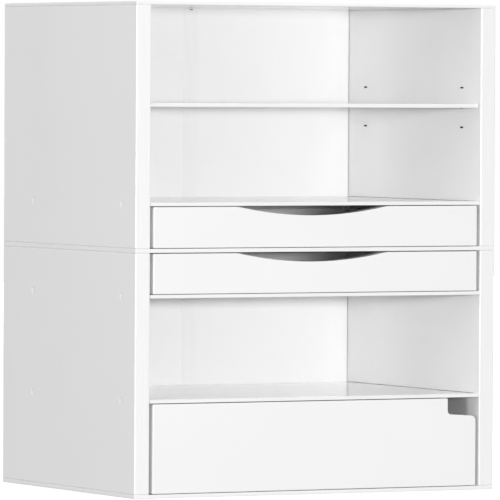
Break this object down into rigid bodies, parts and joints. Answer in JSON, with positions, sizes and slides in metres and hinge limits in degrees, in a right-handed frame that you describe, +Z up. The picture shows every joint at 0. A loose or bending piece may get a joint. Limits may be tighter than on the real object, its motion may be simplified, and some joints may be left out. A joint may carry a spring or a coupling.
{
  "type": "desk organizer",
  "caption": "White two-tier desk organizer with open bays, a loose shelf, flat paper drawers with arc finger cut-outs, and a deep drawer with a corner finger notch.",
  "frame": {"origin": "middle of the base board's underside", "axes": "+Z up, -Y towards the user (the drawers face -Y), +X to the user's right"},
  "size_m": [0.4, 0.296, 0.4825],
  "materials": {
    "white_lacquer": "satin white lacquer on fibreboard",
    "white_board": "matte white faced thin hardboard",
    "runner_beech": "planed and waxed beech",
    "pin_steel": "zinc plated, touched in with white",
    "peg_steel": "blackened"
  },
  "bodies": {
    "cabinet": {"back_lower_left": "white_board", "back_lower_right": "white_board", "back_upper_left": "white_board", "back_upper_right": "white_board", "base_board": "white_lacquer", "deep_drawer_runner_left": "runner_beech", "deep_drawer_runner_right": "runner_beech", "fixed_shelf_lower": "white_lacquer", "fixed_shelf_middle": "white_lacquer", "fixed_shelf_upper": "white_lacquer", "lower_drawer_runner_left": "runner_beech", "lower_drawer_runner_right": "runner_beech", "middle_board": "white_lacquer", "peg_high_left_front": "peg_steel", "peg_high_left_rear": "peg_steel", "peg_high_right_front": "peg_steel", "peg_high_right_rear": "peg_steel", "peg_low_left_front": "peg_steel", "peg_low_left_rear": "peg_steel", "peg_low_right_front": "peg_steel", "peg_low_right_rear": "peg_steel", "peg_used_left_front": "peg_steel", "peg_used_left_rear": "peg_steel", "peg_used_right_front": "peg_steel", "peg_used_right_rear": "peg_steel", "shelf_pin_lower_left_front": "pin_steel", "shelf_pin_lower_left_rear": "pin_steel", "shelf_pin_lower_right_front": "pin_steel", "shelf_pin_lower_right_rear": "pin_steel", "shelf_pin_middle_left_front": "pin_steel", "shelf_pin_middle_left_rear": "pin_steel", "shelf_pin_middle_right_front": "pin_steel", "shelf_pin_middle_right_rear": "pin_steel", "shelf_pin_upper_left_front": "pin_steel", "shelf_pin_upper_left_rear": "pin_steel", "shelf_pin_upper_right_front": "pin_steel", "shelf_pin_upper_right_rear": "pin_steel", "side_lower_left": "white_lacquer", "side_lower_right": "white_lacquer", "side_upper_left": "white_lacquer", "side_upper_right": "white_lacquer", "top_board": "white_lacquer", "upper_drawer_runner_left": "runner_beech", "upper_drawer_runner_right": "runner_beech"},
    "loose_shelf": {"adjustable_shelf": "white_lacquer"},
    "upper_drawer": {"upper_drawer_bottom": "white_board", "upper_drawer_front": "white_lacquer", "upper_drawer_left": "white_lacquer", "upper_drawer_rear": "white_lacquer", "upper_drawer_right": "white_lacquer"},
    "lower_drawer": {"lower_drawer_bottom": "white_board", "lower_drawer_front": "white_lacquer", "lower_drawer_left": "white_lacquer", "lower_drawer_rear": "white_lacquer", "lower_drawer_right": "white_lacquer"},
    "deep_drawer": {"deep_drawer_bottom": "white_board", "deep_drawer_front": "white_lacquer", "deep_drawer_left": "white_lacquer", "deep_drawer_rear": "white_lacquer", "deep_drawer_right": "white_lacquer"}
  },
  "joints": [
    {"name": "adjustable_shelf_slide", "type": "slide", "parent": "cabinet", "child": "loose_shelf", "axis": [0, -1, 0], "range_m": [0, 0.2]},
    {"name": "upper_drawer_slide", "type": "slide", "parent": "cabinet", "child": "upper_drawer", "axis": [0, -1, 0], "range_m": [0, 0.2]},
    {"name": "lower_drawer_slide", "type": "slide", "parent": "cabinet", "child": "lower_drawer", "axis": [0, -1, 0], "range_m": [0, 0.2]},
    {"name": "deep_drawer_slide", "type": "slide", "parent": "cabinet", "child": "deep_drawer", "axis": [0, -1, 0], "range_m": [0, 0.2]}
  ]
}
